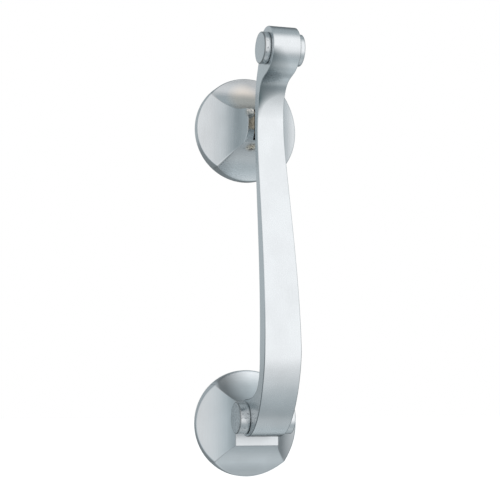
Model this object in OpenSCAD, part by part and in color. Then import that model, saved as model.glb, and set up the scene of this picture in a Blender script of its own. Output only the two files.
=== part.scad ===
// Door knocker: an S-shaped blade arm, hinged in an upper rose, strikes a lower rose.
// Millimetres. The back face of the upper rose is centred on the origin, in the door's plane y = 0.
// -Y points out of the door, +Z up, and X along the hinge pin.

/* [Roses] */
// Diameter of both roses
rose_d = 44.5; // [44:0.1:46]
// Distance between the centres of the two roses
rose_spacing = 125; // [124:0.5:130]
// Thickness of the lower rose's rim at the middle of its side facets
lower_side_rim = 2.6; // [2.2:0.1:3.4]
// Thickness of the lower rose's rim at the middle of its upper and lower facets
lower_end_rim = 3.4; // [2.4:0.1:4]
// Radius of the four coves of the lower rose
lower_cove_r = 23.2; // [22:0.1:26]
// Side of the square platform that the striker lands on
platform_w = 18.5; // [16:0.1:19]
// Height of the platform over the door
platform_h = 16.7; // [15:0.1:17.5]
// Thickness of the upper rose's rim at the middle of its side facets
upper_side_rim = 3.6; // [3:0.1:4.2]
// Radius of the two side coves of the upper rose
upper_side_cove_r = 24.9; // [24:0.1:27]
// Thickness of the upper rose's rim above and below the hinge
upper_end_rim = 4.8; // [4:0.1:5.2]
// Radius of the tight cove above the hinge, which clears the scroll when the arm is lifted
upper_top_cove_r = 15.2; // [15:0.1:18]
// Radius of the shallow cove below the hinge
upper_bottom_cove_r = 26; // [25:0.1:28]

/* [Hinge] */
// Width of the hinge boss on the upper rose
boss_w = 12; // [11.6:0.1:12.6]
// Height of the boss over the door at its crown
boss_h = 22.6; // [22:0.1:23.4]
// Radius of the rounded front of the boss
boss_front_r = 12.6; // [12.4:0.1:13]
// Width of the slot that the tongue swings in
slot_w = 5.4; // [5.2:0.1:5.8]
// Height of the slot's floor over the door
slot_floor = 9.4; // [9:0.1:9.8]
// Distance from the pin up to the slot's upper end, which is where a raised arm stops
slot_up = 6.6; // [6:0.1:8]
// Distance from the pin down to the slot's lower end
slot_down = 7.2; // [6.4:0.1:8]
// Height of the hinge pin's axis over the door
pin_h = 15.6; // [15.4:0.1:16]
// Diameter of the hinge pin
pin_d = 4; // [3.6:0.1:4.2]
// Length of the hinge pin
pin_l = 12.5; // [12:0.1:12.7]
// Radius of the tongue's eye around the pin
tongue_eye_r = 5.4; // [5:0.1:5.6]
// Thickness of the tongue's bar between the eye and the blade
tongue_bar = 7; // [6:0.1:8]
// Radial running clearance of the tongue on the pin
pin_clearance = 0.05; // [0.03:0.01:0.08]

/* [Arm] */
// Radius of the scroll knuckle at the top of the arm
scroll_r = 9; // [8.6:0.1:9.2]
// Distance of the scroll's axis from the door
scroll_out = 47; // [46.5:0.1:48]
// Height of the scroll's axis above the hinge pin
scroll_up = 25.5; // [25:0.1:26]
// Radius of the striker knuckle at the foot of the arm
striker_r = 7.6; // [7.2:0.1:7.6]
// Height of the striker's axis above the centre of the lower rose
striker_up = 2.2; // [1:0.1:3]
// Gap between the resting striker and the platform
striker_gap = 0.1; // [0.05:0.01:0.2]
// Distance of the neck's front face from the door, beside the hinge
neck_front = 35.1; // [34.5:0.1:35.5]
// Distance of the neck's back face from the door
neck_back = 31.3; // [31:0.1:31.5]
// Distance of the belly's front face from the door, at its fullest
belly_front = 49.4; // [48.5:0.1:50]
// Distance of the belly's back face from the door
belly_back = 43; // [42:0.1:43.5]
// Depth of the fullest point of the belly below the hinge pin
belly_down = 96; // [94:0.5:98]
// Width of the arm at the scroll
top_w = 11.7; // [11:0.1:12.4]
// Width of the arm at the neck
neck_w = 11.1; // [11:0.1:12]
// Width of the arm at its fullest point, in the belly
belly_w = 15.6; // [15:0.1:16.5]
// Width of the arm at the very bottom of the striker
toe_w = 14.5; // [14:0.1:15.5]

/* [Buttons] */
// Diameter of the flat buttons on the scroll and the striker
button_d = 13; // [12:0.1:13.6]
// How far each scroll button stands off the arm
scroll_button_t = 2.8; // [2:0.1:3.4]
// How far each striker button stands off the arm
striker_button_t = 4.4; // [3:0.1:4.6]
// Chamfer on each button's outer edge
button_chamfer = 0.5; // [0.3:0.1:0.8]
// Diameter of the spigot that is pressed into the arm
spigot_d = 6; // [5:0.5:7]
// Length of each spigot
spigot_l = 4.5; // [4:0.1:5]

/* [Fixings] */
// How far each fixing stud reaches behind the door face of its rose
stud_reach = 38; // [34:1:40]
// Diameter of the studs' plain shank
stud_d = 6; // [5:1:6]
// Distance from the rose to the washer: the thickness of door that is clamped
clamp_t = 30; // [26:1:31]
// Depth of the tapped hole in the back of each rose
tapping_depth = 8; // [7:0.5:8.5]
// Outer diameter of the washers
washer_d = 12.5; // [12:0.5:14]
// Thickness of the washers
washer_t = 1.6; // [1:0.1:1.6]
// Width of the hexagon nuts across their flats
nut_af = 10; // [10:0.5:11]
// Thickness of the nuts
nut_t = 5; // [4:0.1:5.2]

/* [Hidden] */

$fn = 96;
rose_r = rose_d / 2;
eps = 0.01;
reach = 100;                    // longer than any cut needs

// Where the two knuckles' axes are, as [y, z].
scroll_axis = [-scroll_out, scroll_up];
striker_axis = [-(platform_h + striker_gap + striker_r), striker_up - rose_spacing];
pin_axis = [-pin_h, 0];

// Where the arm is narrowest, how far above that it has its top width, and from belly to toe.
neck_z = 4;
neck_rise = 12;
toe_run = striker_r - striker_axis.y - belly_down;

// The neck's front leaves the scroll this many degrees below its foremost point, along its tangent.
scroll_exit_a = 38;
scroll_exit = scroll_axis - scroll_r * [cos(scroll_exit_a), sin(scroll_exit_a)];
scroll_exit_way = [sin(scroll_exit_a), -cos(scroll_exit_a)];
exit_reach = 12.4;              // length of the curve's handle at the scroll
exit_drop = 22;                 // height of its handle above the neck

// The pin is driven in from +X until its end is about level with the right cheek, and stops inside the left one.
pin_right = boss_w / 2 + 1.8;
pin_left = pin_right - pin_l;
tongue_w = slot_w - 0.3;

// Threads are plain cylinders at their mean diameter.
thread_d = stud_d - 0.65;
tapped_d = thread_d + 0.05;
thread_proud = 2.2;             // thread left showing behind the rose, clear of the door face
nut_thread = 14;                // length of thread at the nut's end
dome_t = 0.4;                   // rounding at the ends of studs and pin

// ---- Curves ----

// The centre of the circle of radius r through p and q, on the side away from the axis of the rose.
function cove_centre(p, q, r) =
    let (chord = q - p, half = norm(chord) / 2, rise = sqrt(r * r - half * half))
    (p + q) / 2 + rise * [-chord.y, chord.x] * (chord.x < 0 ? -1 : 1) / (2 * half);

// A point on the cubic Bezier curve with control points c.
function bezier(c, t) =
    pow(1 - t, 3) * c[0] + 3 * pow(1 - t, 2) * t * c[1]
    + 3 * (1 - t) * pow(t, 2) * c[2] + pow(t, 3) * c[3];

// The curve as steps points, without its last one.
function curve(c, steps) = [for (i = [0:steps - 1]) bezier(c, i / steps)];

// Points on an arc from angle a0 to a1, without the last one.
function arc(centre, r, a0, a1, steps) =
    [for (i = [0:steps - 1]) let (a = a0 + (a1 - a0) * i / steps) centre + r * [cos(a), sin(a)]];

// The arm's side view as [y, z]: down the front, round the striker, up the back, over the scroll.
function arm_side() = concat(
    curve([
        scroll_exit, scroll_exit + exit_reach * scroll_exit_way,
        [-neck_front, exit_drop], [-neck_front, -5]
    ], 24),
    curve([
        [-neck_front, -5], [-neck_front, -20],
        [-belly_front, 34 - belly_down], [-belly_front, -belly_down]
    ], 26),
    curve([
        [-belly_front, -belly_down], [-belly_front, -belly_down - 8],
        striker_axis - [18, striker_r], striker_axis - [0, striker_r]
    ], 24),
    arc(striker_axis, striker_r, -90, 90, 28),
    curve([
        striker_axis + [0, striker_r], striker_axis + [-12, striker_r],
        [-belly_back, -belly_down - 16], [-belly_back, -belly_down - 2]
    ], 18),
    curve([
        [-belly_back, -belly_down - 2], [-belly_back, 34 - belly_down],
        [-neck_back - 0.1, -20], [-neck_back, 2]
    ], 26),
    curve([
        [-neck_back, 2], [-neck_back, 14],
        scroll_axis + [scroll_r + 1, -5.5], scroll_axis + [scroll_r, 0]
    ], 14),
    arc(scroll_axis, scroll_r, 0, 180 + scroll_exit_a, 54)
);

// Half the arm's width at height z: narrowest at the neck, fullest in the belly, closing in a little below.
function half_width(z) =
    z > neck_z ? lerp(neck_w, top_w, min(1, (z - neck_z) / neck_rise)) / 2
    : z > -belly_down ? lerp(neck_w, belly_w, (neck_z - z) / (neck_z + belly_down)) / 2
    : lerp(belly_w, toe_w, pow(min(1, (-belly_down - z) / toe_run), 2)) / 2;
function lerp(a, b, t) = a + (b - a) * t;

// ---- Parts shared by several nodes ----

// Draws its child in the side plane, where x of the child is y here and y is z, and runs it along X.
module along_x(width) {
    rotate([90, 0, 90]) translate([0, 0, -width / 2]) linear_extrude(width) children();
}

// A round bar along X between x0 and x1, on an axis given as [y, z].
module bar_x(axis, r, x0, x1) {
    translate([x0, axis.x, axis.y]) rotate([0, 90, 0]) cylinder(h = x1 - x0, r = r);
}

// A round bar along Y between y0 and y1.
module bar_y(r, y0, y1) {
    translate([0, y0, 0]) rotate([-90, 0, 0]) cylinder(h = y1 - y0, r = r);
}

// One cove, cut on the side that turn points to: 0 is up and 180 down.
// centre is [distance from the rose's axis, height over the door].
module cove(centre, r, turn) {
    rotate([0, turn, 0]) bar_x([-centre.y, centre.x], r, -reach / 2, reach / 2);
}

// The round blank of a rose, with a tapped hole in its back.
module rose_blank(height) {
    difference() {
        bar_y(rose_r, -height, 0);
        bar_y(tapped_d / 2, -tapping_depth, eps);
    }
}

// A stud: tapped end in the rose, plain shank through the door, threaded end for the nut.
module stud() {
    bar_y(thread_d / 2, 0.5 - tapping_depth, thread_proud);
    bar_y(stud_d / 2, thread_proud, stud_reach - nut_thread);
    bar_y(thread_d / 2, stud_reach - nut_thread, stud_reach - dome_t);
    translate([0, stud_reach - dome_t, 0]) rotate([-90, 0, 0])
        cylinder(h = dome_t, r1 = thread_d / 2, r2 = thread_d / 2 - dome_t);
}

module washer() {
    difference() {
        bar_y(washer_d / 2, clamp_t, clamp_t + washer_t);
        bar_y(stud_d / 2 + 0.2, clamp_t - eps, clamp_t + washer_t + eps);
    }
}

// A hexagon nut with chamfered corners.
module nut() {
    corner_r = nut_af / 2 / cos(30);
    translate([0, clamp_t + washer_t, 0]) rotate([-90, 0, 0]) difference() {
        intersection() {
            cylinder(h = nut_t, r = corner_r, $fn = 6);
            cylinder(h = nut_t + corner_r, r1 = corner_r + nut_t, r2 = 0);
            translate([0, 0, -corner_r]) cylinder(h = nut_t + corner_r, r1 = 0, r2 = corner_r + nut_t);
        }
        translate([0, 0, -eps]) cylinder(h = nut_t + 2 * eps, r = tapped_d / 2);
    }
}

// A button on the side of the arm: a flat disc with a chamfered edge and a spigot pressed into the arm.
module button(axis, arm_half, t, side) {
    translate([side * arm_half, axis.x, axis.y]) rotate([0, side * 90, 0]) {
        cylinder(h = t - button_chamfer, d = button_d);
        translate([0, 0, t - button_chamfer])
            cylinder(h = button_chamfer, r1 = button_d / 2, r2 = button_d / 2 - button_chamfer);
        translate([0, 0, -spigot_l]) cylinder(h = spigot_l, d = spigot_d);
    }
}

// ---- Nodes ----

module upper_rose() {
    side_cove = cove_centre([rose_r, upper_side_rim], [boss_w / 2, boss_h - 1.6], upper_side_cove_r);
    top_cove = cove_centre([rose_r, upper_end_rim], [6.2, boss_h - 1.7], upper_top_cove_r);
    bottom_cove = cove_centre([rose_r, upper_end_rim], [9.6, boss_h - 5.7], upper_bottom_cove_r);
    color("lightsteelblue") difference() {
        intersection() {
            rose_blank(boss_h);
            // The front of the boss is rounded around a line along X.
            union() {
                translate([-rose_r, -13, -rose_r]) cube([rose_d, 13, rose_d]);
                bar_x([boss_front_r - boss_h, 0], boss_front_r, -rose_r, rose_r);
            }
        }
        cove(side_cove, upper_side_cove_r, 90);
        cove(side_cove, upper_side_cove_r, -90);
        cove(top_cove, upper_top_cove_r, 0);
        cove(bottom_cove, upper_bottom_cove_r, 180);
        translate([-slot_w / 2, -reach, -slot_down]) cube([slot_w, reach - slot_floor, slot_down + slot_up]);
        bar_x(pin_axis, pin_d / 2, pin_left, reach);
    }
}

module lower_rose() {
    corner = [platform_w / 2, platform_h];
    side_cove = cove_centre([rose_r, lower_side_rim], corner, lower_cove_r);
    end_cove = cove_centre([rose_r, lower_end_rim], corner, lower_cove_r);
    color("lightsteelblue") translate([0, 0, -rose_spacing]) difference() {
        rose_blank(platform_h);
        for (turn = [90, -90]) cove(side_cove, lower_cove_r, turn);
        for (turn = [0, 180]) cove(end_cove, lower_cove_r, turn);
    }
}

module pivot_pin() {
    color("khaki") {
        bar_x(pin_axis, pin_d / 2, pin_left, pin_right - dome_t);
        translate([pin_right - dome_t, pin_axis.x, pin_axis.y]) rotate([0, 90, 0])
            cylinder(h = dome_t, r1 = pin_d / 2, r2 = pin_d / 2 - dome_t);
    }
}

// The blade with its two knuckles and the hinge tongue on its back, cast as one.
module arm() {
    top_z = scroll_up + scroll_r + 1;
    bottom_z = striker_axis.y - striker_r - 1;
    steps = 40;
    heights = [for (i = [0:steps]) lerp(top_z, bottom_z, i / steps)];
    outline = concat(
        [for (z = heights) [half_width(z), z]],
        [for (i = [steps:-1:0]) [-half_width(heights[i]), heights[i]]]
    );
    color("silver") difference() {
        union() {
            intersection() {
                along_x(belly_w + 2) polygon(arm_side());
                rotate([90, 0, 0]) linear_extrude(reach) polygon(outline);
            }
            tongue();
        }
        bar_x(pin_axis, pin_d / 2 + pin_clearance, -reach, reach);
        for (axis = [scroll_axis, striker_axis]) {
            edge = half_width(axis.y);
            bar_x(axis, spigot_d / 2, edge - spigot_l, edge + eps);
            bar_x(axis, spigot_d / 2, -edge - eps, spigot_l - edge);
        }
    }
}

// The tongue: an eye on the pin, and a bar that flares where it meets the blade.
module tongue() {
    root = neck_back + 0.8;
    flare = 2.5;
    bar_x(pin_axis, tongue_eye_r, -tongue_w / 2, tongue_w / 2);
    along_x(tongue_w) polygon([
        [-pin_h, tongue_bar / 2], [-pin_h, -tongue_bar / 2],
        [flare - neck_back, -tongue_bar / 2], [-root, -tongue_bar / 2 - flare],
        [-root, tongue_bar / 2 + flare], [flare - neck_back, tongue_bar / 2]
    ]);
}

module scroll_button_left() {
    color("gainsboro") button(scroll_axis, half_width(scroll_axis.y), scroll_button_t, -1);
}

module scroll_button_right() {
    color("gainsboro") button(scroll_axis, half_width(scroll_axis.y), scroll_button_t, 1);
}

module striker_button_left() {
    color("gainsboro") button(striker_axis, half_width(striker_axis.y), striker_button_t, -1);
}

module striker_button_right() {
    color("gainsboro") button(striker_axis, half_width(striker_axis.y), striker_button_t, 1);
}

module upper_stud() {
    color("darkgray") stud();
}

module lower_stud() {
    color("darkgray") translate([0, 0, -rose_spacing]) stud();
}

module upper_washer() {
    color("silver") washer();
}

module lower_washer() {
    color("silver") translate([0, 0, -rose_spacing]) washer();
}

module upper_nut() {
    color("silver") nut();
}

module lower_nut() {
    color("silver") translate([0, 0, -rose_spacing]) nut();
}

upper_rose();
lower_rose();
pivot_pin();
arm();
scroll_button_left();
scroll_button_right();
striker_button_left();
striker_button_right();
upper_stud();
lower_stud();
upper_washer();
lower_washer();
upper_nut();
lower_nut();
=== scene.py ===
"""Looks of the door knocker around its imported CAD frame. Lengths are millimetres until a mesh is made."""
import math

import bmesh
import bpy
import numpy as np
from mathutils import Matrix, Vector


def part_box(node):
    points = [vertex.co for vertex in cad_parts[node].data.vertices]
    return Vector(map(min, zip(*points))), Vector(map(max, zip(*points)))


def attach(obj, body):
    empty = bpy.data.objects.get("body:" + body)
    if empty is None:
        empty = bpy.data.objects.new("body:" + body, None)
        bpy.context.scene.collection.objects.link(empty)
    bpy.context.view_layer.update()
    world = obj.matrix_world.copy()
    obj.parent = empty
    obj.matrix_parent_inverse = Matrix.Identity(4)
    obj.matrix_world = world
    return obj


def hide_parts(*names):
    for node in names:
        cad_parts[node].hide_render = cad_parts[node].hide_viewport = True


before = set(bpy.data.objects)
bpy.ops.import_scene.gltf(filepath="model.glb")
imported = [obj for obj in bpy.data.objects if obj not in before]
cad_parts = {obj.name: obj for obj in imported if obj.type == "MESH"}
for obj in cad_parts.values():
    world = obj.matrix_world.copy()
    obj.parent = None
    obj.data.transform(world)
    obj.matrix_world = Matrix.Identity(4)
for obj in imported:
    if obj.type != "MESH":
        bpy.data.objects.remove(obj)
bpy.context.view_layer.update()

MM = 0.001


# ---- Places taken from the frame ----

def box_mm(node):
    low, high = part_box(node)
    return np.array(low) / MM, np.array(high) / MM


def middle(node):
    low, high = box_mm(node)
    return (low + high) / 2


UPPER_LOW, UPPER_HIGH = box_mm("upper_rose")
LOWER_LOW, LOWER_HIGH = box_mm("lower_rose")
ROSE_R = (UPPER_HIGH[0] - UPPER_LOW[0]) / 2
UPPER_Z = (UPPER_HIGH[2] + UPPER_LOW[2]) / 2
LOWER_Z = (LOWER_HIGH[2] + LOWER_LOW[2]) / 2
BOSS_H = -UPPER_LOW[1]
PLATFORM_H = -LOWER_LOW[1]
SCROLL = middle("scroll_button_left")[1:]
STRIKER = middle("striker_button_left")[1:]
PIN = middle("pivot_pin")[1:]
ARM_LOW, ARM_HIGH = box_mm("arm")
SCROLL_R = ARM_HIGH[2] - SCROLL[1]
STRIKER_R = STRIKER[1] - ARM_LOW[2]
BELLY_W = ARM_HIGH[0] - ARM_LOW[0]

# Sizes the frame doesn't give, the same as in the CAD source.
TAPPED_R = 2.7
TAPPING_DEPTH = 8.0
NECK_FRONT, NECK_BACK = 35.1, 31.3
BELLY_FRONT, BELLY_BACK, BELLY_DOWN = 49.4, 43.0, 96.0
TOP_W, NECK_W, TOE_W = 11.7, 11.1, 14.5
NECK_Z, NECK_RISE = 4.0, 12.0
SCROLL_EXIT = 38
SLOT_W, SLOT_FLOOR, SLOT_UP, SLOT_DOWN = 5.4, 9.4, 6.6, 7.2
TONGUE_W, TONGUE_EYE_R, TONGUE_BAR = 5.1, 5.4, 7.0
SCROLL_PROUD, STRIKER_PROUD = 2.8, 4.4
BOSS_FRONT_R, BOSS_SHOULDER = 12.6, 13.0

# Each cove of a rose: its height over the door at the rim, its inner corner as distance from the axis and
# height, and its radius.
LOWER_CORNER = (9.25, PLATFORM_H)
LOWER_SIDE_COVE = (2.6, LOWER_CORNER, 23.2)
LOWER_END_COVE = (3.4, LOWER_CORNER, 23.2)
UPPER_SIDE_COVE = (3.6, (6.0, BOSS_H - 1.6), 24.9)
UPPER_TOP_COVE = (4.8, (6.2, BOSS_H - 1.7), 15.2)
UPPER_BOTTOM_COVE = (4.8, (9.6, BOSS_H - 5.7), 26.0)

# Painted shade: how bright places that lie in shade or mirror dark surroundings are drawn, where clean
# plating in the open is 1.
RIM_SHADE = 0.9              # side wall and back of a rose
RIDGE_SHADE = 0.7            # ridges between coves
TOP_COVE_SHADE = 0.78        # middle of the cove above the hinge
TOP_RIM_SHADE = 0.66         # that cove at the rim
CUT_TONE = 0.8              # faces cut by a tool
CHAMFER_SHADE = 0.45         # edge of a left button's face
RIGHT_CHAMFER_SHADE = 0.8    # edge of a right button's face
WALL_TONE = 0.87            # wall of a left button
SEAM_SHADOW = 0.4             # wall of a right button, painted shadow beside the arm
SCROLL_FACE_TONE, STRIKER_FACE_TONE = 0.98, 0.8


# ---- Mesh helpers ----

def make_object(name, verts, faces, material, body, nodes):
    """A mesh from points in millimetres, riding on a body and standing for CAD nodes."""
    mesh = bpy.data.meshes.new(name)
    mesh.from_pydata([tuple(v) for v in np.asarray(verts, float) * MM], [], faces)
    mesh.validate()
    mesh.polygons.foreach_set("use_smooth", [True] * len(mesh.polygons))
    obj = bpy.data.objects.new(name, mesh)
    bpy.context.scene.collection.objects.link(obj)
    mesh.materials.append(material)
    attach(obj, body)
    if nodes:
        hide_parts(*nodes)
    return obj


def set_attribute(obj, name, values):
    """A value per point that the materials read: tone, brass or cast."""
    attribute = obj.data.attributes.new(name, "FLOAT", "POINT")
    attribute.data.foreach_set("value", np.asarray(values, np.float32))


def set_painted_light(obj, tones):
    """Painted light and shade at each point: 1 is clean plating in the open, less is painted shade, more is
    painted highlight.
    """
    set_attribute(obj, "tone", tones)


def mark_brass(obj, amount):
    """Where the plating is missing: 1 is bare brass."""
    set_attribute(obj, "brass", [amount] * len(obj.data.vertices))


def ring_faces(rings, count, start=0):
    """Quads between consecutive rings of count points each."""
    faces = []
    for i in range(rings - 1):
        a, b = start + i * count, start + (i + 1) * count
        faces += [(a + j, a + (j + 1) % count, b + (j + 1) % count, b + j) for j in range(count)]
    return faces


def closed_surface(rings):
    """Points and faces of rings of equal count, closed by a fan at each end."""
    count = len(rings[0])
    verts = np.vstack([rings[0].mean(0)[None]] + list(rings) + [rings[-1].mean(0)[None]])
    faces = ring_faces(len(rings), count, 1)
    last = len(verts) - 1
    faces += [(0, 1 + (j + 1) % count, 1 + j) for j in range(count)]
    tail = last - count
    faces += [(last, tail + j, tail + (j + 1) % count) for j in range(count)]
    return verts, faces


def lathe(profile, origin, axis, segments=96):
    """Rings around an axis, from [distance along the axis, radius] pairs."""
    axis = Vector(axis).normalized()
    side = axis.orthogonal().normalized()
    other = axis.cross(side)
    angles = np.linspace(0, 2 * math.pi, segments, endpoint=False)
    around = np.outer(np.cos(angles), side) + np.outer(np.sin(angles), other)
    return [np.array(origin) + np.array(axis) * t + around * r for t, r in profile]


def quarter(t0, r0, t1, r1, steps=5):
    """A rounded corner of a lathe profile, from [t0, r0] along the radius to [t1, r1] along the axis."""
    points = []
    for i in range(steps + 1):
        a = math.pi / 2 * i / steps
        points.append((t0 + (t1 - t0) * (1 - math.cos(a)), r0 + (r1 - r0) * math.sin(a)))
    return points


def recalculate_normals(obj):
    bm = bmesh.new()
    bm.from_mesh(obj.data)
    bmesh.ops.recalc_face_normals(bm, faces=bm.faces)
    bm.to_mesh(obj.data)
    bm.free()


def apply_modifiers(obj):
    depsgraph = bpy.context.evaluated_depsgraph_get()
    mesh = bpy.data.meshes.new_from_object(obj.evaluated_get(depsgraph))
    obj.modifiers.clear()
    obj.data = mesh


def soften_edges(obj, width, segments=3, angle=35):
    """Rounds every edge sharper than angle, and keeps the faces beside it flat."""
    bevel = obj.modifiers.new("edges", "BEVEL")
    bevel.width = width * MM
    bevel.segments = segments
    bevel.limit_method = "ANGLE"
    bevel.angle_limit = math.radians(angle)
    bevel.use_clamp_overlap = False
    bevel.miter_outer = "MITER_ARC"
    normals = obj.modifiers.new("normals", "WEIGHTED_NORMAL")
    normals.keep_sharp = True


# ---- Materials ----

def new_material(name):
    material = bpy.data.materials.new(name)
    material.use_nodes = True
    nodes = material.node_tree.nodes
    nodes.clear()
    output = nodes.new("ShaderNodeOutputMaterial")
    shader = nodes.new("ShaderNodeBsdfPrincipled")
    material.node_tree.links.new(shader.outputs[0], output.inputs["Surface"])
    return material, material.node_tree, shader


def stretched_noise(tree, scale, detail=4.0, roughness=0.6):
    """Noise in object space, stretched by a scale per axis in 1/m."""
    coords = tree.nodes.new("ShaderNodeTexCoord")
    mapping = tree.nodes.new("ShaderNodeMapping")
    mapping.inputs["Scale"].default_value = scale
    noise = tree.nodes.new("ShaderNodeTexNoise")
    noise.inputs["Scale"].default_value = 1.0
    noise.inputs["Detail"].default_value = detail
    noise.inputs["Roughness"].default_value = roughness
    tree.links.new(coords.outputs["Object"], mapping.inputs["Vector"])
    tree.links.new(mapping.outputs[0], noise.inputs["Vector"])
    return noise.outputs["Fac"]


def remap(tree, value, low, high, from_low=0.0, from_high=1.0):
    node = tree.nodes.new("ShaderNodeMapRange")
    node.inputs["From Min"].default_value = from_low
    node.inputs["From Max"].default_value = from_high
    node.inputs["To Min"].default_value = low
    node.inputs["To Max"].default_value = high
    tree.links.new(value, node.inputs["Value"])
    return node.outputs[0]


def mix_colour(tree, factor, a, b):
    node = tree.nodes.new("ShaderNodeMix")
    node.data_type = "RGBA"
    for socket, value in ((node.inputs[6], a), (node.inputs[7], b)):
        if isinstance(value, bpy.types.NodeSocket):
            tree.links.new(value, socket)
        else:
            socket.default_value = (*value, 1)
    tree.links.new(factor, node.inputs[0])
    return node.outputs[2]


def scaled_colour(tree, colour, factor):
    node = tree.nodes.new("ShaderNodeVectorMath")
    node.operation = "SCALE"
    tree.links.new(colour, node.inputs[0])
    tree.links.new(factor, node.inputs["Scale"])
    return node.outputs[0]


def math_node(tree, operation, a, b):
    node = tree.nodes.new("ShaderNodeMath")
    node.operation = operation
    for socket, value in zip(node.inputs, (a, b)):
        if isinstance(value, bpy.types.NodeSocket):
            tree.links.new(value, socket)
        else:
            socket.default_value = value
    return node.outputs[0]


def attribute_value(tree, name):
    node = tree.nodes.new("ShaderNodeAttribute")
    node.attribute_name = name
    return node.outputs["Fac"]


def position_value(tree, axis):
    """The object-space coordinate along one axis, in metres."""
    coords = tree.nodes.new("ShaderNodeTexCoord")
    split = tree.nodes.new("ShaderNodeSeparateXYZ")
    tree.links.new(coords.outputs["Object"], split.inputs[0])
    return split.outputs[axis]


def normal_share(tree, axis):
    """How far the surface faces along one axis, either way: 0 to 1."""
    geometry = tree.nodes.new("ShaderNodeNewGeometry")
    split = tree.nodes.new("ShaderNodeSeparateXYZ")
    tree.links.new(geometry.outputs["Normal"], split.inputs[0])
    return math_node(tree, "ABSOLUTE", split.outputs[axis], 0.0)


def colour_ramp(tree, value, places, colours, interpolation="LINEAR"):
    """A colour ramp. value is 0 at the first place and 1 at the last."""
    low, high = places[0], places[-1]
    node = tree.nodes.new("ShaderNodeValToRGB")
    ramp = node.color_ramp
    while len(ramp.elements) < len(places):
        ramp.elements.new(1.0)
    for element, place, colour in zip(ramp.elements, places, colours):
        element.position = (place - low) / (high - low)
        element.color = colour
    ramp.interpolation = interpolation
    tree.links.new(value, node.inputs[0])
    return node.outputs[0]


def edge_mask(tree, radius):
    """1 on edges rounder than radius millimetres, 0 on flat faces."""
    bevel = tree.nodes.new("ShaderNodeBevel")
    bevel.inputs["Radius"].default_value = radius * MM
    geometry = tree.nodes.new("ShaderNodeNewGeometry")
    dot = tree.nodes.new("ShaderNodeVectorMath")
    dot.operation = "DOT_PRODUCT"
    tree.links.new(bevel.outputs[0], dot.inputs[0])
    tree.links.new(geometry.outputs["Normal"], dot.inputs[1])
    return remap(tree, dot.outputs["Value"], 1.0, 0.0, 0.9, 0.995)


def rounded_edge(tree):
    """1 on the arm's rounded long edges, where the surface faces neither forward nor sideways."""
    sideways = normal_share(tree, "X")
    not_front = remap(tree, sideways, 0, 1, 0.15, 0.4)
    not_side = remap(tree, sideways, 1, 0, 0.9, 0.99)
    return math_node(tree, "MULTIPLY", not_front, not_side)


def crevice_shade_mask(tree, distance):
    """Painted shade from ambient occlusion: 1 in corners and seams, 0 in the open."""
    occlusion = tree.nodes.new("ShaderNodeAmbientOcclusion")
    occlusion.inputs["Distance"].default_value = distance * MM
    occlusion.samples = 6
    return remap(tree, occlusion.outputs["AO"], 1.0, 0.0, 0.25, 0.85)


def facing_sideways(tree):
    """1 where the surface faces along X, 0 where it faces up or down."""
    difference = math_node(tree, "SUBTRACT", normal_share(tree, "X"), normal_share(tree, "Z"))
    return remap(tree, difference, 0, 1, -0.05, 0.05)


def facing_forward(tree):
    """0 on the arm's flat sides, 1 on its front, back, top and sole."""
    return remap(tree, normal_share(tree, "X"), 1, 0, 0.5, 0.9)


def add_bumps(tree, shader, heights):
    """Chains bump nodes for (height socket, depth in mm, strength) and feeds the shader's normal."""
    normal = None
    for height, depth, strength in heights:
        bump = tree.nodes.new("ShaderNodeBump")
        bump.inputs["Strength"].default_value = strength
        bump.inputs["Distance"].default_value = depth * MM
        tree.links.new(height, bump.inputs["Height"])
        if normal is not None:
            tree.links.new(normal, bump.inputs["Normal"])
        normal = bump.outputs[0]
    tree.links.new(normal, shader.inputs["Normal"])


def on_front_only(tree, level):
    """level where the arm faces forward, 1 on its sides."""
    kept = math_node(tree, "MULTIPLY_ADD", math_node(tree, "SUBTRACT", level, 1.0), facing_forward(tree))
    kept.node.inputs[2].default_value = 1.0
    return kept


def patch_mask(tree, place, radius, amount, ragged, noise):
    """A soft patch around a place in mm, with its outline broken up by noise."""
    coords = tree.nodes.new("ShaderNodeTexCoord")
    distance = tree.nodes.new("ShaderNodeVectorMath")
    distance.operation = "DISTANCE"
    distance.inputs[1].default_value = [v * MM for v in place]
    tree.links.new(coords.outputs["Object"], distance.inputs[0])
    broken = math_node(tree, "MULTIPLY_ADD", noise, ragged * radius * MM)
    tree.links.new(distance.outputs["Value"], broken.node.inputs[2])
    far = (1 + ragged / 2) * radius * MM
    return remap(tree, broken, amount, 0, far * 0.55, far * 1.1)


# Painted light and shade on the neck's front: a dark painted reflection in its hollow, a painted highlight
# above it and painted shade on the knuckle's top. Height over the hinge in mm, then how bright its left edge
# is, how far across that edge reaches, and how bright the rest is.
NECK_PAINTED_LIGHT = (
    (-1.0, 1.0, 0.12, 1.0), (2.3, 0.55, 0.15, 0.86), (3.7, 0.18, 0.2, 0.82), (5.3, 0.05, 0.28, 0.74),
    (7.0, 0.02, 0.46, 0.70), (9.0, 0.12, 0.8, 0.76), (11.0, 0.28, 0.9, 0.72), (12.2, 0.32, 0.9, 0.80),
    (14.2, 0.40, 0.9, 1.25),
    (19.5, 0.40, 0.7, 1.15), (21.5, 0.30, 0.5, 0.89), (23.0, 0.45, 0.4, 0.89), (25.0, 1.0, 0.4, 1.0),
    (32.0, 1.0, 0.4, 1.0), (34.0, 0.78, 0.4, 0.78), (36.0, 0.72, 0.4, 0.72),
)


# Colour ramps hold values up to 1, so levels are stored as shares of this.
FULL_LEVEL = 1.25


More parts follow.
